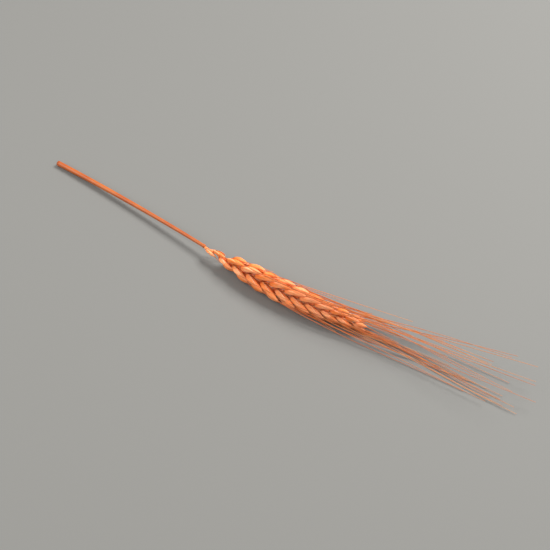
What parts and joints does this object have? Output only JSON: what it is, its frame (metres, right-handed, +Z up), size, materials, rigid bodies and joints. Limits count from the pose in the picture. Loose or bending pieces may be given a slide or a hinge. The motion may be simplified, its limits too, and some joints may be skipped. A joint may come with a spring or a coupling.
{
  "type": "wheat ear",
  "caption": "Bearded wheat ear with overlapping grain scales and long awns on a short cut straw, dried and dyed orange, lying down.",
  "frame": {"origin": "on the surface the ear lies on, under the middle of its outer box", "axes": "+X from the straw's cut end towards the awn tips, +Z up"},
  "size_m": [0.273, 0.0302, 0.0177],
  "materials": {
    "dyed_chaff": "dry papery husk dyed orange, matt with a faint silk along its nerves",
    "dyed_straw": "dried straw dyed orange, smooth with a low waxy shine"
  },
  "bodies": {
    "root": {"ear": "dyed_chaff", "straw": "dyed_straw"}
  },
  "joints": []
}
